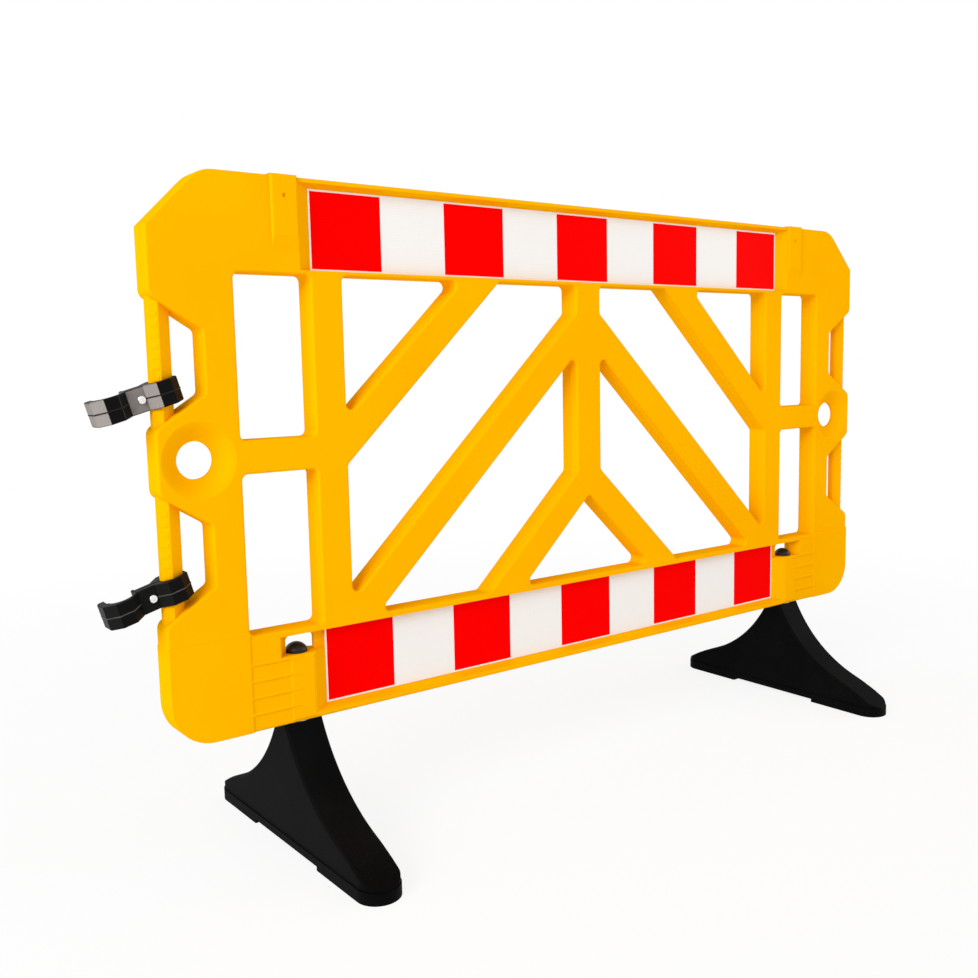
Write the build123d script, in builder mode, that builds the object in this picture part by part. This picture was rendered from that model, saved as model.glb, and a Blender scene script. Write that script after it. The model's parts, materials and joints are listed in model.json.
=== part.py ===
from build123d import *
from math import cos, hypot, radians, sin, sqrt, tan
import os

os.makedirs("parts", exist_ok=True)

# Plastic safety barrier: a hollow moulded panel with reflective bands on both faces, two rubber
# feet that swivel on pins, and two bolted clips on the left grip bars that hook the next barrier.
# Millimetres, +Z up, floor at Z = 0, front face towards -Y.

# Panel moulding
panel_length = 1500.0
panel_height = 760.0
panel_thickness = 40.0
skin = 4.0
edge_round = 3.5
top_corner_cut = 75.0
top_corner_round = 48.0
bottom_corner_round = 60.0

# Openings between the rails, posts and braces
opening_round = 9.0
top_rail = 130.0
bottom_rail = 136.0
middle_rail = 46.0
end_width = 115.5
slot_width = 114.0
post_width = 49.5
centre_post = 54.0
brace_angle = 43.5
brace_width = 48.5
brace_pitch = 266.0
lowest_brace_apex = 344.0
brace_count = 3

# Grip openings, grip bars and tie holes at the ends
grip_depth = 70.0
grip_inner_height = 83.0
grip_end_height = 172.0
grip_spacing = 258.0
tab_round = 14.0
bar_width = 28.0
bar_depth = 29.0
bar_flat = 12.0
bar_ridge = 3.4
bar_inset = 3.0
bar_round = 1.6
tie_hole_diameter = 51.0
tie_hole_setback = 56.5
tie_hole_web = 6.0
dish_diameter = 104.0
dish_lip = 18.0

# Lamp pads on the top rail
lamp_pad_width = 40.0
lamp_pad_height = 102.0
lamp_pad_proud = 4.0
lamp_pad_rise = 2.0
lamp_pad_slope = 21.0
lamp_pad_round = 3.4
dimple_drop = 28.0
dimple_radius = 3.5
dimple_depth = 4.0
dimple_taper = 30.0

# Raised corner blocks, socket columns, ribs and sight windows over the feet
leg_setback = 193.0
block_length = 115.0
block_height = 138.0
block_proud = 1.4
block_round = 1.3
column_width = 38.0
column_proud = 1.0
column_taper = 60.0
rib_count = 4
rib_pitch = 23.4
rib_thickness = 5.0
rib_proud = 1.6
rib_taper = 45.0
first_rib_height = 25.0
sill_height = 98.0
sight_height = 25.0
sight_inset = 27.0
sight_reach = 17.5
sight_round = 7.0
sight_web = 5.0
recess_room = 4.0
recess_flare = 12.0

# Reflective bands: a white sheet on the floor of a flared trough, with red blocks on it
band_length = 1027.0
band_height = 112.0
top_band_margin = 6.5
bottom_band_margin = 9.5
band_gap = 1.0
trough_depth = 14.5
trough_flare = 4.5
trough_draft = 22.0
trough_spare = 1.0
sheet_thickness = 0.6
film_thickness = 0.3
red_border = 2.8
red_count = 5

# Feet and their swivel pins
foot_height = 186.0
foot_length = 480.0
foot_width = 60.0
foot_top_length = 34.0
flank_radius = 260.0
toe_length = 80.0
toe_height = 57.0
sole_width = 63.0
sole_lip = 1.5
sole_height = 17.0
pad_length = 142.0
arch_rise = 6.0
foot_round = 5.0
pin_radius = 12.0
pin_gap = 0.3
pin_socket_depth = 60.0
collar_radius = 16.0
collar_height = 1.5
neck_radius = 8.0
neck_length = 9.0
cap_radius = 16.0
cap_height = 14.0
cap_rim = 4.0
cap_gap = 0.5
neck_gap = 0.15

# Clips: two bolted halves round the grip bar, with an open hook for the next barrier's bar
clip_height = 33.0
clip_wall = 2.2
clip_pitch = 70.0
clip_swing = 0.0
clip_droop = 16.0
clip_play = 1.0
clip_drop = 38.5
clip_edge = 1.2
web_thickness = 8.0
plate_thickness = 8.0
lip_thickness = 4.5
lip_height = 13.0
mouth_edge = 13.0
tip_height = 17.0
tip_round = 4.0
jaw_sides = 8
bolt_radius = 3.0
bolt_gap = 0.3
head_radius = 5.5
head_height = 3.6
head_round = 1.6
head_room = 1.0
key_sides = 6
key_width = 4.0
key_depth = 2.0
nut_width = 10.0
nut_height = 5.0
bolt_spare = 2.0

# Heights of the panel's features, measured from its bottom edge
half_length = panel_length / 2
half_thickness = panel_thickness / 2
window_top = panel_height - top_rail
window_bottom = bottom_rail
field_middle = (window_top + window_bottom) / 2
field_height = window_top - window_bottom
grip_heights = (field_middle + grip_spacing / 2, field_middle - grip_spacing / 2)

# Distances of the panel's features from its middle
slot_outer = half_length - end_width
slot_middle = slot_outer - slot_width / 2
field_edge = slot_outer - slot_width - post_width
grip_edge = half_length - grip_depth
bar_middle = half_length - bar_inset - bar_width / 2
tie_hole_place = half_length - tie_hole_setback
leg_place = half_length - leg_setback
block_edge = half_length - block_length

# The clip's direction: swung forward from straight out, and drooping at its outer end. Its bores
# stay upright, so the jaws are wider than their bores by how far they lean over half the height.
swing, droop = radians(clip_swing), radians(clip_droop)
clip_along = (-cos(swing) * cos(droop), -sin(swing) * cos(droop), -sin(droop))
clip_up = (-cos(swing) * sin(droop), -sin(swing) * sin(droop), cos(droop))
clip_lean = clip_height / 2 * tan(droop)
bar_corner = max(hypot(bar_width, bar_flat), hypot(2 * bar_ridge, bar_depth)) / 2
jaw_inner = bar_corner + clip_play
jaw_outer = jaw_inner + clip_lean + clip_wall

# The overall length runs from the clips' tips to the panel's right end, and its middle is X = 0
tip_sweep = jaw_outer * sqrt(1 - clip_up[0] ** 2) + (clip_height / 2 - clip_edge) * abs(clip_up[0])
clip_reach = clip_pitch * abs(clip_along[0]) + tip_sweep - (half_length - bar_middle)
panel_middle = clip_reach / 2
panel_plane = Plane(origin=(panel_middle, 0, foot_height), x_dir=(1, 0, 0), z_dir=(0, -1, 0))


# Outline of the panel, with cut top corners and round bottom corners
with BuildSketch() as outline:
    with BuildLine():
        Polyline(
            (-half_length, 0),
            (half_length, 0),
            (half_length, panel_height - top_corner_cut),
            (half_length - top_corner_cut, panel_height),
            (top_corner_cut - half_length, panel_height),
            (-half_length, panel_height - top_corner_cut),
            close=True,
        )
    make_face()
    fillet(outline.vertices().group_by(Axis.Y)[0], bottom_corner_round)
    fillet(outline.vertices().group_by(Axis.Y)[-1], top_corner_round)
    fillet(outline.vertices().filter_by_position(
        Axis.Y, panel_height - top_corner_cut, panel_height - top_corner_cut), top_corner_round)

# Openings of the middle field: its rectangle less the centre post and the roof-shaped braces
brace_rise = brace_width / cos(radians(brace_angle))
brace_slope = tan(radians(brace_angle))
with BuildSketch() as windows:
    with Locations((0, field_middle)):
        Rectangle(2 * field_edge, field_height)
    for step in range(brace_count):
        apex = lowest_brace_apex + step * brace_pitch
        foot_drop = apex - brace_slope * half_length
        with BuildLine():
            Polyline(
                (0, apex),
                (half_length, foot_drop),
                (half_length, foot_drop - brace_rise),
                (0, apex - brace_rise),
                (-half_length, foot_drop - brace_rise),
                (-half_length, foot_drop),
                close=True,
            )
        make_face(mode=Mode.SUBTRACT)
    post_foot = lowest_brace_apex - brace_rise / 2
    with Locations((0, (window_top + post_foot) / 2)):
        Rectangle(centre_post, window_top - post_foot, mode=Mode.SUBTRACT)
    slot_height = (field_height - middle_rail) / 2
    slot_offset = (slot_height + middle_rail) / 2
    for side in (-1, 1):
        with Locations((side * slot_middle, field_middle + slot_offset),
                       (side * slot_middle, field_middle - slot_offset)):
            Rectangle(slot_width, slot_height)
    fillet(windows.vertices(), opening_round)
    with Locations((-tie_hole_place, field_middle), (tie_hole_place, field_middle)):
        Circle(tie_hole_diameter / 2)

# Grip openings widen outwards; their slopes run on past the panel's ends
grip_slope = (grip_end_height - grip_inner_height) / 2 / grip_depth
grip_run = grip_depth + bar_inset + tab_round
with BuildSketch() as grips:
    for height in grip_heights:
        for side in (-1, 1):
            outer_height = grip_inner_height / 2 + grip_slope * grip_run
            with BuildLine():
                Polyline(
                    (side * grip_edge, height - grip_inner_height / 2),
                    (side * (grip_edge + grip_run), height - outer_height),
                    (side * (grip_edge + grip_run), height + outer_height),
                    (side * grip_edge, height + grip_inner_height / 2),
                    close=True,
                )
            make_face()
    inner_corners = grips.vertices().filter_by(lambda corner: abs(corner.X) < half_length)
    fillet(inner_corners, opening_round)

# Face outline: the full thickness, with the grips open at the ends
with BuildSketch() as face_outline:
    add(outline.sketch)
    add(windows.sketch, mode=Mode.SUBTRACT)
    add(grips.sketch, mode=Mode.SUBTRACT)
    grip_tops = [height + turn * grip_end_height / 2 for height in grip_heights for turn in (-1, 1)]
    tab_corners = face_outline.vertices().filter_by(
        lambda corner: abs(abs(corner.X) - half_length) < edge_round
        and min(abs(corner.Y - top) for top in grip_tops) < edge_round
    )
    fillet(tab_corners, tab_round)

# Band places on the rails, the same on both faces, and the troughs that hold them
band_middles = {
    "top": window_top + top_band_margin + band_height / 2,
    "bottom": window_bottom - bottom_band_margin - band_height / 2,
}
flare_shifts = {"top": trough_flare / 2, "bottom": -trough_flare / 2}
floor_depth = half_thickness - trough_depth
floor_length = band_length + 2 * trough_spare
floor_height = band_height + 2 * band_gap
mouth_length = floor_length + 2 * trough_draft
mouth_height = floor_height + trough_flare

# The sight windows are holes in a thin web, in recesses that run on from the lower troughs' ends
sight_width = sight_inset + sight_reach
sight_place = leg_place + (sight_reach - sight_inset) / 2
sight_middle = sill_height + sight_height / 2
recess_inner = floor_length / 2
recess_outer = leg_place + sight_reach + recess_room
recess_top = band_middles["bottom"] + floor_height / 2
recess_height = recess_top - sill_height
recess_middle = sill_height + recess_height / 2

# The void inside the skin, kept away from bars, dishes, sockets, recesses and troughs
with BuildSketch() as hollow:
    add(offset(outline.sketch, amount=-skin, mode=Mode.PRIVATE))
    for window in windows.sketch.faces():
        add(offset(window, amount=skin, mode=Mode.PRIVATE), mode=Mode.SUBTRACT)
    for height in grip_heights:
        for side in (-1, 1):
            with Locations((side * (half_length + grip_edge - skin) / 2, height)):
                Rectangle(grip_depth + skin, grip_end_height + 2 * tab_round, mode=Mode.SUBTRACT)
    with Locations((-tie_hole_place, field_middle), (tie_hole_place, field_middle)):
        Circle(dish_diameter / 2 + skin, mode=Mode.SUBTRACT)
    socket_height = recess_top + skin
    socket_width = recess_outer + recess_flare + skin - recess_inner
    socket_place = recess_inner + socket_width / 2
    with Locations((-socket_place, socket_height / 2), (socket_place, socket_height / 2)):
        Rectangle(socket_width, socket_height, mode=Mode.SUBTRACT)
    solid_height = mouth_height + 2 * (skin + edge_round)
    for rail, middle in band_middles.items():
        with Locations((0, middle + flare_shifts[rail])):
            Rectangle(mouth_length + 2 * skin, solid_height, mode=Mode.SUBTRACT)


def near(value, place, room=0.01):
    """True where a length equals a place to within drawing tolerance."""
    return abs(value - place) < room


with BuildPart() as panel:
    # The full thickness, with rounded edges
    with BuildSketch(panel_plane):
        add(face_outline.sketch)
    extrude(amount=half_thickness, both=True)
    face_edges = panel.faces().sort_by(Axis.Y)[0].edges() + panel.faces().sort_by(Axis.Y)[-1].edges()
    fillet(face_edges, edge_round)

    # Six-sided grip bars across the openings, set back from both faces and from the ends
    bar_length = grip_end_height + tab_round
    for height in grip_heights:
        with BuildSketch(Plane.XY.offset(foot_height + height - bar_length / 2)) as bars:
            for side in (-1, 1):
                outer = panel_middle + side * (bar_middle + bar_width / 2)
                inner = panel_middle + side * (bar_middle - bar_width / 2)
                ridge = panel_middle + side * (bar_middle + bar_ridge)
                with BuildLine():
                    Polyline(
                        (outer, -bar_flat / 2),
                        (outer, bar_flat / 2),
                        (ridge, bar_depth / 2),
                        (inner, bar_flat / 2),
                        (inner, -bar_flat / 2),
                        (ridge, -bar_depth / 2),
                        close=True,
                    )
                make_face()
            fillet(bars.vertices(), bar_round)
        extrude(amount=bar_length)

    # Raised corner blocks over the feet
    with BuildSketch(panel_plane):
        add(outline.sketch)
        with Locations(*[(side * (half_length + block_edge) / 2, block_height / 2) for side in (-1, 1)]):
            Rectangle(block_length, block_height, mode=Mode.INTERSECT)
    extrude(amount=half_thickness + block_proud, both=True)
    block_edges = panel.edges().filter_by(
        lambda edge: near(abs(edge.center().Y), half_thickness + block_proud))
    fillet(block_edges, block_round)

    # Low socket columns up to the sills, and the ribs between columns and blocks, on both faces
    column_height = sill_height - edge_round
    column_middle = edge_round + column_height / 2
    rib_length = block_edge + block_round - leg_place
    rib_middle = leg_place + rib_length / 2
    for side in (-1, 1):
        with BuildSketch(panel_plane.offset(side * half_thickness)):
            with Locations((-leg_place, column_middle), (leg_place, column_middle)):
                Rectangle(column_width, column_height)
        extrude(amount=side * column_proud, taper=column_taper)
        with BuildSketch(panel_plane.offset(side * half_thickness)):
            for step in range(rib_count):
                height = first_rib_height + step * rib_pitch
                with Locations((-rib_middle, height), (rib_middle, height)):
                    Rectangle(rib_length, rib_thickness)
        extrude(amount=side * rib_proud, taper=rib_taper)

    # Lamp pads on both faces, sloped below and a little higher than the rail
    pad_top = foot_height + panel_height + lamp_pad_rise
    pad_bottom = pad_top - lamp_pad_height
    pad_face = half_thickness + lamp_pad_proud
    for side in (-1, 1):
        with BuildSketch(Plane.YZ.offset(panel_middle + side * leg_place)):
            with BuildLine():
                Polyline(
                    (-pad_face, pad_top),
                    (-pad_face, pad_bottom + lamp_pad_slope),
                    (-half_thickness, pad_bottom),
                    (half_thickness, pad_bottom),
                    (pad_face, pad_bottom + lamp_pad_slope),
                    (pad_face, pad_top),
                    close=True,
                )
            make_face()
        extrude(amount=lamp_pad_width / 2, both=True)
    pad_edges = panel.edges().filter_by(
        lambda edge: near(abs(edge.center().Y), pad_face) and edge.center().Z > pad_bottom)
    fillet(pad_edges, lamp_pad_round)

    # Soft dishes on both faces down to a thin web round each tie hole
    lip_slope = tan(radians(dish_lip))
    for place in (-tie_hole_place, tie_hole_place):
        hole_point = (panel_middle + place, 0, foot_height + field_middle)
        for side in (-1, 1):
            web_face = side * tie_hole_web / 2
            with BuildSketch(Plane(origin=hole_point)):
                with BuildLine():
                    floor = Line((0, web_face), (tie_hole_diameter / 2, web_face))
                    wall = Spline(
                        floor @ 1,
                        (dish_diameter / 2, side * half_thickness),
                        tangents=((1, side * lip_slope), (1, side * lip_slope)),
                    )
                    brim = Line(wall @ 1, wall @ 1 + Vector(skin, side * skin * lip_slope))
                    Polyline(brim @ 1, (0, (brim @ 1).Y), floor @ 0)
                make_face()
            revolve(axis=Axis(hole_point, (0, 1, 0)), mode=Mode.SUBTRACT)

    # Troughs for the bands, flared at both ends and towards the panel's edge
    for rail, middle in band_middles.items():
        for side in (-1, 1):
            with BuildSketch(panel_plane.offset(side * floor_depth)):
                with Locations((0, middle)):
                    Rectangle(floor_length, floor_height)
            with BuildSketch(panel_plane.offset(side * half_thickness)):
                with Locations((0, middle + flare_shifts[rail])):
                    Rectangle(mouth_length, mouth_height)
            loft(ruled=True, mode=Mode.SUBTRACT)

    # Sight windows: recesses over the sockets on both faces, a hole in the web, and the pin bores
    recess_run = recess_outer - recess_inner
    recess_place = recess_inner + recess_run / 2
    for end in (-1, 1):
        for side in (-1, 1):
            with BuildSketch(panel_plane.offset(side * sight_web / 2)):
                with Locations((end * recess_place, recess_middle)):
                    Rectangle(recess_run, recess_height)
            with BuildSketch(panel_plane.offset(side * half_thickness)):
                with Locations((end * (recess_place + recess_flare / 2), recess_middle)):
                    Rectangle(recess_run + recess_flare, recess_height)
            loft(ruled=True, mode=Mode.SUBTRACT)
    with BuildSketch(panel_plane) as sight:
        with Locations((-sight_place, sight_middle), (sight_place, sight_middle)):
            Rectangle(sight_width, sight_height)
        fillet(sight.vertices().group_by(Axis.Y)[-1], sight_round)
    extrude(amount=sight_web, both=True, mode=Mode.SUBTRACT)
    with BuildSketch(Plane.XY.offset(foot_height)):
        with Locations((panel_middle - leg_place, 0), (panel_middle + leg_place, 0)):
            Circle(pin_radius + pin_gap)
    extrude(amount=sight_middle, mode=Mode.SUBTRACT)

    # Marks on the lamp pads
    dimple_height = panel_height + lamp_pad_rise - dimple_drop
    for side in (-1, 1):
        with BuildSketch(panel_plane.offset(side * pad_face)):
            with Locations((-leg_place, dimple_height), (leg_place, dimple_height)):
                Circle(dimple_radius)
        extrude(amount=-side * dimple_depth, taper=dimple_taper, mode=Mode.SUBTRACT)

    # The hollow
    with BuildSketch(panel_plane):
        add(hollow.sketch)
    extrude(amount=half_thickness - skin, both=True, mode=Mode.SUBTRACT)
panel.part.label = "panel"
export_step(panel.part, "parts/panel.step")


# Bands: each white sheet lies on its trough's floor, and the red blocks lie on the sheet
red_zone = band_length - 2 * red_border
red_length = red_zone / (2 * red_count - 1)
red_height = band_height - 2 * red_border
for face, side in (("front", 1), ("back", -1)):
    for rail, middle in band_middles.items():
        with BuildPart() as sheet:
            with BuildSketch(panel_plane.offset(side * floor_depth)):
                with Locations((0, middle)):
                    Rectangle(band_length, band_height)
            extrude(amount=side * sheet_thickness)
        sheet.part.label = f"{face}_{rail}_band"
        export_step(sheet.part, f"parts/{sheet.part.label}.step")

        with BuildPart() as red_blocks:
            with BuildSketch(panel_plane.offset(side * (floor_depth + sheet_thickness))):
                with Locations((0, middle)):
                    with GridLocations(2 * red_length, 0, red_count, 1):
                        Rectangle(red_length, red_height)
            extrude(amount=side * film_thickness)
        red_blocks.part.label = f"{face}_{rail}_red_blocks"
        export_step(red_blocks.part, f"parts/{red_blocks.part.label}.step")


# Feet: a spreading flank on a rounded sole, with a socket for the pin, whose collar bears the panel
for name, side in (("left", -1), ("right", 1)):
    foot_x = panel_middle + side * leg_place
    sole_plane = Plane(origin=(foot_x, 0, 0))
    toe_start = foot_length / 2 - toe_length
    lip_edge = foot_length / 2 - sole_lip
    crown_height = foot_height - collar_height
    pin_bottom = crown_height - pin_socket_depth
    with BuildPart() as foot:
        with BuildSketch(Plane.YZ.offset(foot_x)):
            with BuildLine():
                crown = Line((0, crown_height), (foot_top_length / 2, crown_height))
                flank = RadiusArc(crown @ 1, (toe_start, toe_height), -flank_radius)
                toe = TangentArc(flank @ 1, (lip_edge, sole_height), tangent=flank % 1)
                edge = Line(toe @ 1, (lip_edge, 0))
                Line(edge @ 1, (0, 0))
                mirror(about=Plane.YZ)
            make_face()
        extrude(amount=foot_width / 2, both=True)
        fillet(foot.edges().filter_by(GeomType.CIRCLE), foot_round)
        with BuildSketch(sole_plane):
            SlotOverall(2 * lip_edge, foot_width, rotation=90)
        extrude(amount=foot_height, mode=Mode.INTERSECT)
        with BuildSketch(sole_plane):
            SlotOverall(foot_length, sole_width, rotation=90)
        extrude(amount=sole_height)
        with BuildSketch(sole_plane):
            Rectangle(sole_width, foot_length - 2 * pad_length)
        extrude(amount=arch_rise, mode=Mode.SUBTRACT)
        with BuildSketch(sole_plane.offset(pin_bottom)):
            Circle(pin_radius)
        extrude(amount=pin_socket_depth, mode=Mode.SUBTRACT)
    foot.part.label = f"{name}_foot"
    export_step(foot.part, f"parts/{foot.part.label}.step")

    cap_bottom = foot_height + sill_height + cap_gap
    dome_rise = cap_height - cap_rim
    dome_radius = (cap_radius ** 2 + dome_rise ** 2) / (2 * dome_rise)
    with BuildPart() as pin:
        with BuildSketch(Plane(origin=(foot_x, 0, pin_bottom))):
            Circle(pin_radius)
        extrude(amount=cap_bottom - pin_bottom)
        with BuildSketch(Plane(origin=(foot_x, 0, crown_height))):
            Circle(collar_radius)
        extrude(amount=collar_height)
        with BuildSketch(Plane(origin=(foot_x, 0, cap_bottom))):
            Circle(neck_radius)
        extrude(amount=neck_length)
    pin.part.label = f"{name}_foot_pin"
    export_step(pin.part, f"parts/{pin.part.label}.step")

    with BuildPart() as cap:
        with BuildSketch(Plane(origin=(foot_x, 0, cap_bottom), x_dir=(1, 0, 0), z_dir=(0, -1, 0))):
            with BuildLine():
                rim = Line((cap_radius, 0), (cap_radius, cap_rim))
                dome = RadiusArc(rim @ 1, (0, cap_height), -dome_radius)
                stem = Line(dome @ 1, (0, neck_length + neck_gap))
                roof = Line(stem @ 1, (neck_radius + neck_gap, neck_length + neck_gap))
                wall = Line(roof @ 1, (neck_radius + neck_gap, 0))
                Line(wall @ 1, rim @ 0)
            make_face()
        revolve(axis=Axis((foot_x, 0, 0), (0, 0, 1)))
    cap.part.label = f"{name}_pin_cap"
    export_step(cap.part, f"parts/{cap.part.label}.step")


# Clips on the left bars: hook half in front, keeper half behind, and a bolt beside the inner jaw
bolt_place = jaw_outer + head_radius + head_room
plate_end = clip_pitch - jaw_inner - clip_lean - clip_play
hook_shift = (clip_pitch * clip_along[0], clip_pitch * clip_along[1])
for name, height in zip(("upper", "lower"), grip_heights):
    bar_point = (panel_middle - bar_middle, 0, foot_height + height - clip_drop)
    clip_plane = Plane(origin=bar_point, x_dir=clip_along, z_dir=clip_up)
    up_axis = Axis(bar_point, clip_up)
    bolt_plane = Plane(
        origin=clip_plane.from_local_coords((bolt_place, 0, 0)),
        x_dir=clip_along,
        z_dir=clip_plane.y_dir,
    )

    with BuildPart() as hook:
        with BuildSketch(clip_plane):
            with Locations((0, 0), (clip_pitch, 0)):
                RegularPolygon(jaw_outer, jaw_sides, major_radius=False, rotation=180 / jaw_sides)
            with Locations((clip_pitch / 2, web_thickness / 2)):
                Rectangle(clip_pitch, web_thickness)
            mouth = jaw_outer + clip_pitch + mouth_edge
            with Locations(((mouth - 2 * jaw_outer) / 2, -jaw_outer)):
                Rectangle(mouth, 2 * jaw_outer, mode=Mode.SUBTRACT)
            tip_width = jaw_outer - mouth_edge
            with Locations((clip_pitch + mouth_edge + tip_width / 2, -tip_height / 2)):
                RectangleRounded(tip_width, tip_height, tip_round)
        extrude(amount=clip_height / 2, both=True)
        hook_ends = hook.faces().sort_by(up_axis)
        chamfer(hook_ends[0].edges() + hook_ends[-1].edges(), clip_edge)
        with BuildSketch(Plane(origin=bar_point)):
            with Locations((0, 0), hook_shift):
                Circle(jaw_inner)
        extrude(amount=2 * clip_height, both=True, mode=Mode.SUBTRACT)
        with BuildSketch(bolt_plane):
            Circle(bolt_radius + bolt_gap)
        extrude(amount=web_thickness, both=True, mode=Mode.SUBTRACT)
    hook.part.label = f"{name}_clip_hook"
    export_step(hook.part, f"parts/{hook.part.label}.step")

    with BuildPart() as keeper:
        with BuildSketch(clip_plane):
            RegularPolygon(jaw_outer, jaw_sides, major_radius=False, rotation=180 / jaw_sides)
            with Locations((plate_end / 2, -plate_thickness / 2)):
                Rectangle(plate_end, plate_thickness)
            with Locations((plate_end - lip_thickness / 2, -lip_height / 2)):
                Rectangle(lip_thickness, lip_height)
            with Locations((0, jaw_outer)):
                Rectangle(4 * jaw_outer, 2 * jaw_outer, mode=Mode.SUBTRACT)
        extrude(amount=clip_height / 2, both=True)
        keeper_ends = keeper.faces().sort_by(up_axis)
        chamfer(keeper_ends[0].edges() + keeper_ends[-1].edges(), clip_edge)
        with BuildSketch(Plane(origin=bar_point)):
            with Locations((0, 0), hook_shift):
                Circle(jaw_inner)
        extrude(amount=2 * clip_height, both=True, mode=Mode.SUBTRACT)
        with BuildSketch(bolt_plane):
            Circle(bolt_radius + bolt_gap)
        extrude(amount=plate_thickness, both=True, mode=Mode.SUBTRACT)
    keeper.part.label = f"{name}_clip_keeper"
    export_step(keeper.part, f"parts/{keeper.part.label}.step")

    with BuildPart() as bolt:
        with BuildSketch(bolt_plane.offset(web_thickness)):
            Circle(head_radius)
        extrude(amount=head_height)
        fillet(bolt.edges().sort_by(Axis(bolt_plane.origin, bolt_plane.z_dir))[-1], head_round)
        with BuildSketch(bolt_plane.offset(web_thickness + head_height)):
            RegularPolygon(key_width / 2, key_sides, major_radius=False)
        extrude(amount=-key_depth, mode=Mode.SUBTRACT)
        with BuildSketch(bolt_plane.offset(web_thickness)):
            Circle(bolt_radius)
        extrude(amount=-(web_thickness + plate_thickness + nut_height + bolt_spare))
    bolt.part.label = f"{name}_clip_bolt"
    export_step(bolt.part, f"parts/{bolt.part.label}.step")

    with BuildPart() as nut:
        with BuildSketch(bolt_plane.offset(-plate_thickness)):
            RegularPolygon(nut_width / 2, key_sides, major_radius=False)
            Circle(bolt_radius + neck_gap, mode=Mode.SUBTRACT)
        extrude(amount=-nut_height)
    nut.part.label = f"{name}_clip_nut"
    export_step(nut.part, f"parts/{nut.part.label}.step")
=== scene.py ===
import bmesh
import bpy
import json
from math import cos, pi, radians, sin
from mathutils import Matrix, Vector


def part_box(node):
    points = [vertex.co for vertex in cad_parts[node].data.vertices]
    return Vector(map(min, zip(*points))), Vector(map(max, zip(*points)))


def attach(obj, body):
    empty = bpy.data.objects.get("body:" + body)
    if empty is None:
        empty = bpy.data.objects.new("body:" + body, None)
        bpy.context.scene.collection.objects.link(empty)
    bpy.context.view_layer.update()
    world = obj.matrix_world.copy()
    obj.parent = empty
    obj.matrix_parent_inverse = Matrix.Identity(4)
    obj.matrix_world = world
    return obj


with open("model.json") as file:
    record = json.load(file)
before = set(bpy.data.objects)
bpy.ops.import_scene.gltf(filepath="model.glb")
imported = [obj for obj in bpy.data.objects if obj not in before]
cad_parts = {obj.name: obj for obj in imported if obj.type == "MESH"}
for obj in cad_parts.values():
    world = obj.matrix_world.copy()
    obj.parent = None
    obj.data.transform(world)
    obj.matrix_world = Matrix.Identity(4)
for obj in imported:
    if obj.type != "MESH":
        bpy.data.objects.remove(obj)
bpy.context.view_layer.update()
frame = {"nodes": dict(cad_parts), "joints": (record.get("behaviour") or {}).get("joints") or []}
nodes = frame["nodes"]

# Panel: one hollow yellow moulding, blown in polyethylene and left as it comes from the mould.
# A dull skin with a fine grain, a slow drift of tint from the blowing, light handling scuffs,
# and a faint parting line along the middle of every edge.
panel = nodes["panel"]
yellow_deep = (0.965, 0.425, 0.0, 1.0)
yellow_pale = (0.985, 0.465, 0.0, 1.0)
parting_shade = (0.94, 0.9, 0.85, 1.0)
parting_full = 0.0004
parting_gone = 0.0011
grain_height = 0.25


# A new material with its node tree, its shader and its coordinates.
def new_finish(name):
    material = bpy.data.materials.new(name)
    material.use_nodes = True
    tree = material.node_tree
    return material, tree, tree.nodes["Principled BSDF"], tree.nodes.new("ShaderNodeTexCoord")


# Links an input that is given another node's socket, and sets one that is given a value.
def wire(tree, node, inputs):
    for socket, value in inputs.items():
        if isinstance(value, bpy.types.NodeSocket):
            tree.links.new(value, node.inputs[socket])
        else:
            node.inputs[socket].default_value = value


def add_node(tree, kind, inputs, **settings):
    node = tree.nodes.new(kind)
    for name, value in settings.items():
        setattr(node, name, value)
    wire(tree, node, inputs)
    return node


# Soft noise that stays with the piece; scale counts patches to the metre.
def mottle(tree, place, scale, detail=2.0):
    inputs = {"Vector": place.outputs["Object"], "Scale": scale, "Detail": detail}
    return add_node(tree, "ShaderNodeTexNoise", inputs).outputs["Fac"]


yellow, tree, shader, place = new_finish("yellow_plastic")
drift = mottle(tree, place, scale=4.0, detail=3.0)
scuff = mottle(tree, place, scale=38.0, detail=6.0)
grain = mottle(tree, place, scale=700.0)


def shade_ramp(tree, value, *stops):
    ramp = add_node(tree, "ShaderNodeValToRGB", {"Fac": value})
    for element, (position, shade) in zip(ramp.color_ramp.elements, stops):
        element.position = position
        element.color = shade
    return ramp.outputs["Color"]


def rescale(tree, value, from_range=(0.0, 1.0), to_range=(0.0, 1.0)):
    from_low, from_high = from_range
    to_low, to_high = to_range
    return add_node(tree, "ShaderNodeMapRange", {
        "Value": value,
        "From Min": from_low,
        "From Max": from_high,
        "To Min": to_low,
        "To Max": to_high,
    }).outputs["Result"]


# One step of arithmetic in a finish.
def reckon(tree, operation, *values):
    return add_node(tree, "ShaderNodeMath", dict(enumerate(values)), operation=operation).outputs["Value"]


tint = shade_ramp(tree, drift, (0.3, yellow_deep), (0.7, yellow_pale))
across = add_node(tree, "ShaderNodeSeparateXYZ", {"Vector": place.outputs["Object"]}).outputs["Y"]
off_middle = reckon(tree, "ABSOLUTE", across)
parting = rescale(tree, off_middle, from_range=(parting_full, parting_gone), to_range=(1.0, 0.0))


def mix_shades(tree, amount, first, second, blend="MIX"):
    inputs = {"Fac": amount, "Color1": first, "Color2": second}
    return add_node(tree, "ShaderNodeMixRGB", inputs, blend_type=blend).outputs["Color"]


def relief(tree, height, strength, distance):
    inputs = {"Height": height, "Strength": strength, "Distance": distance}
    return add_node(tree, "ShaderNodeBump", inputs).outputs["Normal"]


def coat(node, material):
    node.data.materials.clear()
    node.data.materials.append(material)


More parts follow.
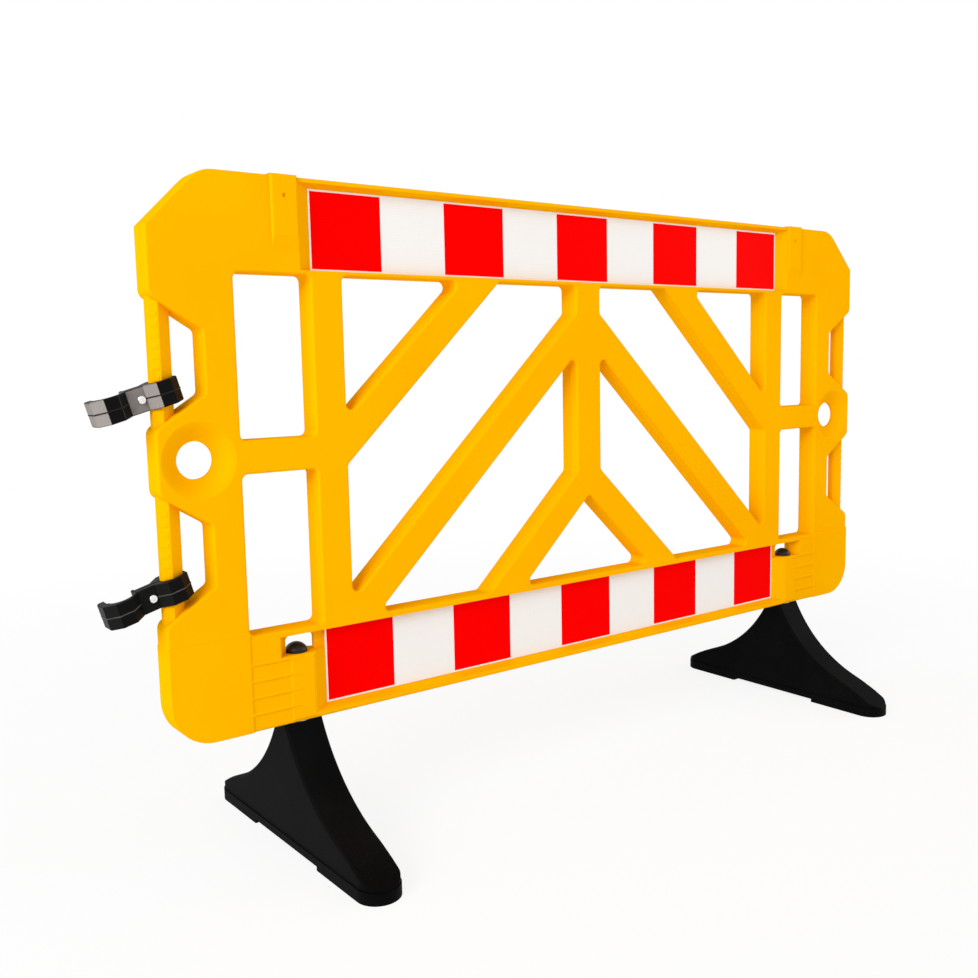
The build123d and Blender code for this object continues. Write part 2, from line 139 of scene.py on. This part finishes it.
raised = reckon(tree, "MULTIPLY_ADD", grain, grain_height, parting)
wire(tree, shader, {
    "Base Color": mix_shades(tree, parting, tint, parting_shade, blend="MULTIPLY"),
    "Roughness": rescale(tree, scuff, from_range=(0.3, 0.7), to_range=(0.4, 0.54)),
    "Specular IOR Level": 0.0,
    "Normal": relief(tree, raised, strength=0.25, distance=0.0005),
})
coat(panel, yellow)

# Grip rungs: ten low finger ripples up the outer facets of the four six-sided grip bars, front and
# back. They are part of the same moulding, so they take the panel's plastic and ride with it.
rung_pitch = 0.01375
rung_count = 10
rung_height = 0.0086
rung_proud = 0.0006
bar_inset = 0.003
bar_width = 0.028
bar_depth = 0.029
bar_flat = 0.012
bar_ridge = 0.0034
grip_spacing = 0.258
grip_middle = 0.383
facet_steps = 8
facet_margin = 0.14
swell_rate = 2.6
panel_low, panel_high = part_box("panel")
panel_middle = (panel_low.x + panel_high.x) / 2
half_length = panel_high.x - panel_middle

# A rung's upper half from its sunk edge to its crest: shares of its height and of how far it stands proud.
rung_half = [(0.5, -1.2), (0.42, 0.1), (0.25, 0.75), (0.0, 1.0)]
rung_outline = [(-level, rise) for level, rise in rung_half] + list(reversed(rung_half[:-1]))
shape = bmesh.new()
for end in (-1, 1):
    for face in (-1, 1):
        outer = Vector((panel_middle + end * (half_length - bar_inset), face * bar_flat / 2, 0.0))
        ridge = Vector((outer.x - end * (bar_width / 2 - bar_ridge), face * bar_depth / 2, 0.0))
        facet = ridge - outer
        out = Vector((end * abs(facet.y), face * abs(facet.x), 0.0)).normalized()
        rings = []
        for step in range(facet_steps + 1):
            part = step / facet_steps
            spot = outer + facet * (facet_margin + (1 - 2 * facet_margin) * part)
            swell = rung_proud * min(1.0, swell_rate * sin(pi * part))
            ring = []
            for level, rise in rung_outline:
                lift = out * rise * (swell if rise > 0 else rung_proud)
                ring.append(shape.verts.new(spot + lift + Vector((0.0, 0.0, level * rung_height))))
            rings.append(ring)
        for low, high in zip(rings, rings[1:]):
            for i in range(len(low)):
                j = (i + 1) % len(low)
                shape.faces.new((low[i], low[j], high[j], high[i]))
        shape.faces.new(rings[0])
        shape.faces.new(list(reversed(rings[-1])))
bmesh.ops.recalc_face_normals(shape, faces=shape.faces)
for side in shape.faces:
    side.smooth = True
rung_mesh = bpy.data.meshes.new("grip_rungs")
shape.to_mesh(rung_mesh)
shape.free()


def new_piece(name, data):
    piece = bpy.data.objects.new(name, data)
    bpy.context.scene.collection.objects.link(piece)
    return piece


def size_input(tree, name, kind):
    return tree.interface.new_socket(name, in_out="INPUT", socket_type=kind).identifier


# The plain mesh that a piece's node tree makes of it.
def made_mesh(piece, modifier):
    bpy.context.view_layer.update()
    mesh = bpy.data.meshes.new_from_object(piece.evaluated_get(bpy.context.evaluated_depsgraph_get()))
    piece.modifiers.remove(modifier)
    return mesh


rungs = new_piece("grip_rungs", rung_mesh)
ladder = bpy.data.node_groups.new("rung_ladder", "GeometryNodeTree")
size_input(ladder, "Geometry", "NodeSocketGeometry")
count_input = size_input(ladder, "Count", "NodeSocketInt")
pitch_input = size_input(ladder, "Pitch", "NodeSocketFloat")
lower_input = size_input(ladder, "Lower start", "NodeSocketFloat")
upper_input = size_input(ladder, "Upper start", "NodeSocketFloat")
finish_input = size_input(ladder, "Finish", "NodeSocketMaterial")
ladder.interface.new_socket("Geometry", in_out="OUTPUT", socket_type="NodeSocketGeometry")
given = ladder.nodes.new("NodeGroupInput").outputs
climb = add_node(ladder, "ShaderNodeCombineXYZ", {"Z": given["Pitch"]})
stacks = ladder.nodes.new("GeometryNodeJoinGeometry")
for start in ("Lower start", "Upper start"):
    base = add_node(ladder, "ShaderNodeCombineXYZ", {"Z": given[start]})
    line = add_node(ladder, "GeometryNodeMeshLine", {
        "Count": given["Count"],
        "Start Location": base.outputs["Vector"],
        "Offset": climb.outputs["Vector"],
    }, mode="OFFSET")
    wire(ladder, stacks, {"Geometry": line.outputs["Mesh"]})
repeat = add_node(ladder, "GeometryNodeInstanceOnPoints", {
    "Points": stacks.outputs["Geometry"],
    "Instance": given["Geometry"],
})


def end_tree(tree, shape, finish):
    solid = add_node(tree, "GeometryNodeRealizeInstances", {"Geometry": shape})
    inputs = {"Geometry": solid.outputs["Geometry"], "Material": finish}
    skin = add_node(tree, "GeometryNodeSetMaterial", inputs)
    add_node(tree, "NodeGroupOutput", {"Geometry": skin.outputs["Geometry"]})


end_tree(ladder, repeat.outputs["Instances"], given["Finish"])
stack = rungs.modifiers.new("ladder", "NODES")
stack.node_group = ladder
first_rung = panel_low.z + grip_middle - rung_pitch * (rung_count - 1) / 2
stack[count_input] = rung_count
stack[pitch_input] = rung_pitch
stack[lower_input] = first_rung - grip_spacing / 2
stack[upper_input] = first_rung + grip_spacing / 2
stack[finish_input] = yellow
rungs.data = made_mesh(rungs, stack)
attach(rungs, "panel_body")

# White reflective sheets: four strips of prismatic sheeting glued to the floors of the troughs.
# A smooth clear face over small cells that show as a faint honeycomb.
cell_scale = 260.0
cell_disorder = 0.25
cell_wall = (0.02, 0.09)
white_wall = (0.82, 0.81, 0.795, 1.0)
white_cell = (0.88, 0.868, 0.848, 1.0)


def cell_sheet(name, wall_shade, cell_shade, roughness, specular):
    material, tree, shader, place = new_finish(name)
    cells = add_node(tree, "ShaderNodeTexVoronoi", {
        "Vector": place.outputs["Object"],
        "Scale": cell_scale,
        "Randomness": cell_disorder,
    }, feature="DISTANCE_TO_EDGE")
    inside = rescale(tree, cells.outputs["Distance"], from_range=cell_wall)
    wire(tree, shader, {
        "Base Color": mix_shades(tree, inside, wall_shade, cell_shade),
        "Roughness": roughness,
        "Specular IOR Level": specular,
    })
    return material


white = cell_sheet("white_sheet", white_wall, white_cell, roughness=0.34, specular=0.1)
for name in ("front_top_band", "front_bottom_band", "back_top_band", "back_bottom_band"):
    coat(nodes[name], white)

# Red blocks: transparent red film laid on the sheets, five to a sheet, so the same cells show
# through a little darker. One CAD node holds each sheet's five blocks.
red_wall = (0.86, 0.0, 0.0, 1.0)
red_cell = (0.98, 0.0, 0.0, 1.0)
red = cell_sheet("red_film", red_wall, red_cell, roughness=0.4, specular=0.006)
block_groups = (
    "front_top_red_blocks",
    "front_bottom_red_blocks",
    "back_top_red_blocks",
    "back_bottom_red_blocks",
)
for name in block_groups:
    coat(nodes[name], red)

# Feet: heavy blocks pressed from black crumb rubber, with a fine pebbled skin.
# Matt and almost pure black, with slightly paler and duller patches.
rubber_black = (0.0015, 0.0015, 0.0015, 1.0)
rubber_dusty = (0.004, 0.004, 0.004, 1.0)
rubber, tree, shader, place = new_finish("foot_rubber")
dust = mottle(tree, place, scale=9.0, detail=6.0)
pebble = add_node(tree, "ShaderNodeTexVoronoi", {"Vector": place.outputs["Object"], "Scale": 650.0})
wire(tree, shader, {
    "Base Color": shade_ramp(tree, dust, (0.42, rubber_black), (0.75, rubber_dusty)),
    "Roughness": rescale(tree, dust, to_range=(0.5, 0.75)),
    "Specular IOR Level": 0.03,
    "Normal": relief(tree, pebble.outputs["Distance"], strength=0.3, distance=0.0006),
})
for name in ("left_foot", "right_foot"):
    coat(nodes[name], rubber)

# Foot pins: turned steel pegs moulded into the feet, zinc plated and lightly brushed.
# They hide in the panel's sockets, under the caps.
def uneven_gloss(name, scale, roughness, looks):
    material, tree, shader, place = new_finish(name)
    wire(tree, shader, looks)
    wire(tree, shader, {"Roughness": rescale(tree, mottle(tree, place, scale), to_range=roughness)})
    return material


steel_looks = {"Base Color": (0.58, 0.58, 0.6, 1.0), "Metallic": 1.0}
steel = uneven_gloss("pin_steel", scale=400.0, roughness=(0.25, 0.45), looks=steel_looks)
for name in ("left_foot_pin", "right_foot_pin"):
    coat(nodes[name], steel)

# Pin caps: black domes screwed on the pins' necks, seen in the sight windows.
# Smooth satin plastic that catches a soft highlight on top.
cap_looks = {"Base Color": (0.008, 0.008, 0.007, 1.0), "Specular IOR Level": 0.25}
dome = uneven_gloss("cap_plastic", scale=300.0, roughness=(0.28, 0.42), looks=cap_looks)
for name in ("left_pin_cap", "right_pin_cap"):
    coat(nodes[name], dome)

# Clip halves: glass-filled black plastic, moulded in two halves and bolted round the grip bar.
# A fine eroded grain, and a painted greyish sheen, a painted highlight on the flats that face out along the
# clip and to the front, except round the bar and on the hook's front flat; far more on the upper clip than
# on the lower one.
droop = radians(16.0)
clip_pitch = 0.07
bar_sheen_gap = (0.009, 0.0098)
hook_sheen_gap = (0.0092, 0.0098)
sheen_patchiness = 0.3
clip_black = (0.004, 0.0036, 0.0036, 1.0)
# Painted sheen shades: grey on the upper clip, hardly above black on the lower one.
upper_painted_sheen = (0.29, 0.262, 0.246, 1.0)
lower_painted_sheen = (0.008, 0.008, 0.0075, 1.0)
clip_along = Vector((-cos(droop), 0.0, -sin(droop)))
clip_up = Vector((-sin(droop), 0.0, cos(droop)))
clip_front = clip_up.cross(clip_along)
sheen_facing = (clip_along + clip_front).normalized()
pivots = {joint["name"]: joint["pos_m"] for joint in frame["joints"]}


def reckon_vector(tree, operation, *values):
    return add_node(tree, "ShaderNodeVectorMath", dict(enumerate(values)), operation=operation).outputs


# Each clip gets its own copy of the plastic, with a bright painted sheen on the upper one and a faint one on
# the lower.
for level, painted_sheen_shade in (("upper", upper_painted_sheen), ("lower", lower_painted_sheen)):
    black, tree, shader, place = new_finish(f"{level}_clip_plastic")
    patches = mottle(tree, place, scale=45.0, detail=5.0)
    grain = mottle(tree, place, scale=1200.0)
    # Painted sheen: greyer where a flat faces out along the clip and to the front, in soft patches.
    facing = reckon_vector(tree, "DOT_PRODUCT", place.outputs["Normal"], sheen_facing)["Value"]
    lit = rescale(tree, reckon(tree, "MULTIPLY_ADD", patches, sheen_patchiness, facing), from_range=(0.6, 0.95))
    pivot = pivots[f"{level}_clip_swing"]
    from_bar = reckon_vector(tree, "SUBTRACT", place.outputs["Object"], pivot)["Vector"]
    out_along = reckon_vector(tree, "DOT_PRODUCT", from_bar, clip_along)["Value"]
    off_bar = rescale(tree, out_along, from_range=bar_sheen_gap)
    hook_distance = reckon(tree, "ABSOLUTE", reckon(tree, "SUBTRACT", out_along, clip_pitch))
    off_hook = rescale(tree, hook_distance, from_range=hook_sheen_gap)
    # The painted sheen is held off round the bar and on the hook's front flat, which stay plain black.
    painted_sheen = reckon(tree, "MULTIPLY", reckon(tree, "MULTIPLY", lit, off_bar), off_hook)
    wire(tree, shader, {
        "Base Color": mix_shades(tree, painted_sheen, clip_black, painted_sheen_shade),
        "Roughness": rescale(tree, patches, to_range=(0.3, 0.55)),
        "Specular IOR Level": 0.05,
        "Normal": relief(tree, grain, strength=0.2, distance=0.0003),
    })
    for half in ("hook", "keeper"):
        node = nodes[f"{level}_clip_{half}"]
        coat(node, black)

# Clip beads: a round moulded bead along the middle of every outer flat of the two jaws.
# It stiffens the thin jaw walls, and it is one piece with the clip half it stands on: plain black
# on the upper clip, with none of its painted sheen, and painted highlight grey on the black lower one.
bead_radius = 0.0009
bead_sides = 10
jaw_sides = 8
jaw_flat = 0.023163
plate_face = 0.008
tip_reach = 0.012
bead_black = (0.008, 0.008, 0.008, 1.0)
# Bead shades: plain black on the upper clip, painted highlight grey on the lower one.
upper_bead_dark = (0.012, 0.011, 0.011, 1.0)
lower_bead_highlight = (0.11, 0.108, 0.105, 1.0)
bead_tree = bpy.data.node_groups.new("moulded_bead", "GeometryNodeTree")
size_input(bead_tree, "Geometry", "NodeSocketGeometry")
radius_input = size_input(bead_tree, "Radius", "NodeSocketFloat")
finish_input = size_input(bead_tree, "Finish", "NodeSocketMaterial")
bead_tree.interface.new_socket("Geometry", in_out="OUTPUT", socket_type="NodeSocketGeometry")
given = bead_tree.nodes.new("NodeGroupInput").outputs
path = add_node(bead_tree, "GeometryNodeMeshToCurve", {"Mesh": given["Geometry"]})
section = add_node(bead_tree, "GeometryNodeCurvePrimitiveCircle", {
    "Resolution": bead_sides,
    "Radius": given["Radius"],
})
sweep = add_node(bead_tree, "GeometryNodeCurveToMesh", {
    "Curve": path.outputs["Curve"],
    "Profile Curve": section.outputs["Curve"],
    "Fill Caps": True,
})
end_tree(bead_tree, sweep.outputs["Mesh"], given["Finish"])
half_turn = pi / jaw_sides
jaw_point = jaw_flat / cos(half_turn)
corner_turns = [half_turn * (2 * k + 1) for k in range(jaw_sides)]
corners = [(jaw_point * cos(turn), jaw_point * sin(turn)) for turn in corner_turns]
front_corners = corners[:jaw_sides // 2]
back_corners = corners[jaw_sides // 2:]
front_path = [(jaw_flat, plate_face), *front_corners, (-jaw_flat, 0.0)]
back_path = [(-jaw_flat, 0.0), *back_corners, (jaw_flat, -plate_face)]
hook_path = [(clip_pitch + x, y) for x, y in reversed(front_corners)] + [(clip_pitch + jaw_flat, -tip_reach)]
points = []
edges = []
for run in (front_path, back_path, hook_path):
    edges += [(len(points) + i, len(points) + i + 1) for i in range(len(run) - 1)]
    points += [(x, y, 0.0) for x, y in run]
for level, bead_tone in (("upper", upper_bead_dark), ("lower", lower_bead_highlight)):
    # The beads' black is mixed in patches with their shade, a painted highlight grey on the lower clip.
    bead_finish, tree, shader, place = new_finish(f"{level}_bead_plastic")
    wire(tree, shader, {
        "Base Color": mix_shades(tree, mottle(tree, place, scale=90.0), bead_black, bead_tone),
        "Roughness": 0.45,
        "Specular IOR Level": 0.15,
    })
    bead_mesh = bpy.data.meshes.new(f"{level}_clip_beads")
    bead_mesh.from_pydata(points, edges, [])
    beads = new_piece(f"{level}_clip_beads", bead_mesh)
    bead = beads.modifiers.new("bead", "NODES")
    bead.node_group = bead_tree
    bead[radius_input] = bead_radius
    bead[finish_input] = bead_finish
    swept = made_mesh(beads, bead)
    placed = Matrix((clip_along, clip_front, clip_up)).transposed().to_4x4()
    placed.translation = Vector(pivots[f"{level}_clip_swing"])
    swept.transform(placed)
    beads.data = swept
    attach(beads, f"{level}_clip_body")

# Clip bolts and nuts: bright zinc-plated steel, with a slightly uneven polish.
# The bolt's head and key show on the clip's front plate, the nut behind it.
zinc_looks = {"Base Color": (0.86, 0.86, 0.85, 1.0), "Metallic": 1.0}
zinc = uneven_gloss("zinc_steel", scale=250.0, roughness=(0.22, 0.4), looks=zinc_looks)
for name in ("upper_clip_bolt", "upper_clip_nut", "lower_clip_bolt", "lower_clip_nut"):
    coat(nodes[name], zinc)

# Floor: a wide pale sheet under the feet, not part of the object.
# Seen directly or in a reflection it fades to plain white a few steps away, and near the feet it
# keeps their soft shadow.
floor_reach = 30.0
shadow_reach = 0.9
plain_reach = 2.4
shadow_white = 0.85
floor_shade = (0.93, 0.93, 0.93, 1.0)


# One for rays that come straight from the view or by way of a reflection or glass, and none for others.
def seen_plainly(tree):
    ray = tree.nodes.new("ShaderNodeLightPath").outputs
    seen = reckon(tree, "ADD", ray["Is Camera Ray"], ray["Is Glossy Ray"])
    return reckon(tree, "ADD", seen, ray["Is Transmission Ray"])


floor_corners = [(x * floor_reach, y * floor_reach, 0.0) for x, y in ((-1, -1), (1, -1), (1, 1), (-1, 1))]
floor_mesh = bpy.data.meshes.new("floor")
floor_mesh.from_pydata(floor_corners, [], [(0, 1, 2, 3)])
floor = new_piece("floor", floor_mesh)
pale, tree, shader, place = new_finish("pale_floor")
wire(tree, shader, {"Base Color": floor_shade, "Roughness": 0.9, "Specular IOR Level": 0.0})
glow = add_node(tree, "ShaderNodeEmission", {"Strength": 1.0})
away = reckon_vector(tree, "LENGTH", place.outputs["Object"])["Value"]
fade = rescale(tree, away, from_range=(shadow_reach, plain_reach), to_range=(shadow_white, 1.0))
mix = add_node(tree, "ShaderNodeMixShader", {
    "Fac": reckon(tree, "MULTIPLY", seen_plainly(tree), fade),
    1: shader.outputs["BSDF"],
    2: glow.outputs["Emission"],
})
wire(tree, tree.nodes["Material Output"], {"Surface": mix.outputs["Shader"]})
floor_mesh.materials.append(pale)

# Studio light: white surroundings where they are seen, a softer fill on the object itself,
# a large soft key from the left that lifts the walls facing left, and a weak one from the right.
fill_strength = 0.57
seen_strength = 1.0
lamp_aim = Vector((0.0, 0.0, 0.45))
world = bpy.data.worlds.new("studio")
bpy.context.scene.world = world
world.use_nodes = True
tree = world.node_tree
wire(tree, tree.nodes["Background"], {
    "Color": (1.0, 1.0, 1.0, 1.0),
    "Strength": rescale(tree, seen_plainly(tree), to_range=(fill_strength, seen_strength)),
})


def soft_lamp(name, watts, width, height, spot):
    lamp_data = bpy.data.lights.new(name, "AREA")
    lamp_data.shape = "RECTANGLE"
    lamp_data.size = width
    lamp_data.size_y = height
    lamp_data.energy = watts
    lamp = new_piece(name, lamp_data)
    lamp.location = spot
    lamp.rotation_euler = (lamp_aim - lamp.location).to_track_quat("-Z", "Y").to_euler()


soft_lamp("key", watts=258.0, width=3.6, height=2.8, spot=(-5.2, -2.1, 2.9))
soft_lamp("fill", watts=62.0, width=3.0, height=2.4, spot=(4.5, -2.2, 1.5))

# Camera: in front of the panel and past its left end, a little above its middle, where the photo was
# taken from. Its place, turn and lens are fitted to the panel's outline and openings.
camera_offset = Vector((-1.216881, -1.337785, 0.498839))
camera_turn = (1.45392, 0.020206, -0.650734)
camera_data = bpy.data.cameras.new("camera")
camera_data.sensor_width = 36.0
camera_data.lens = 38.4464
camera = new_piece("camera", camera_data)
camera.location = Vector((panel_middle, 0.0, panel_low.z)) + camera_offset
camera.rotation_euler = camera_turn
bpy.context.scene.camera = camera
bpy.context.scene.view_settings.view_transform = "Standard"
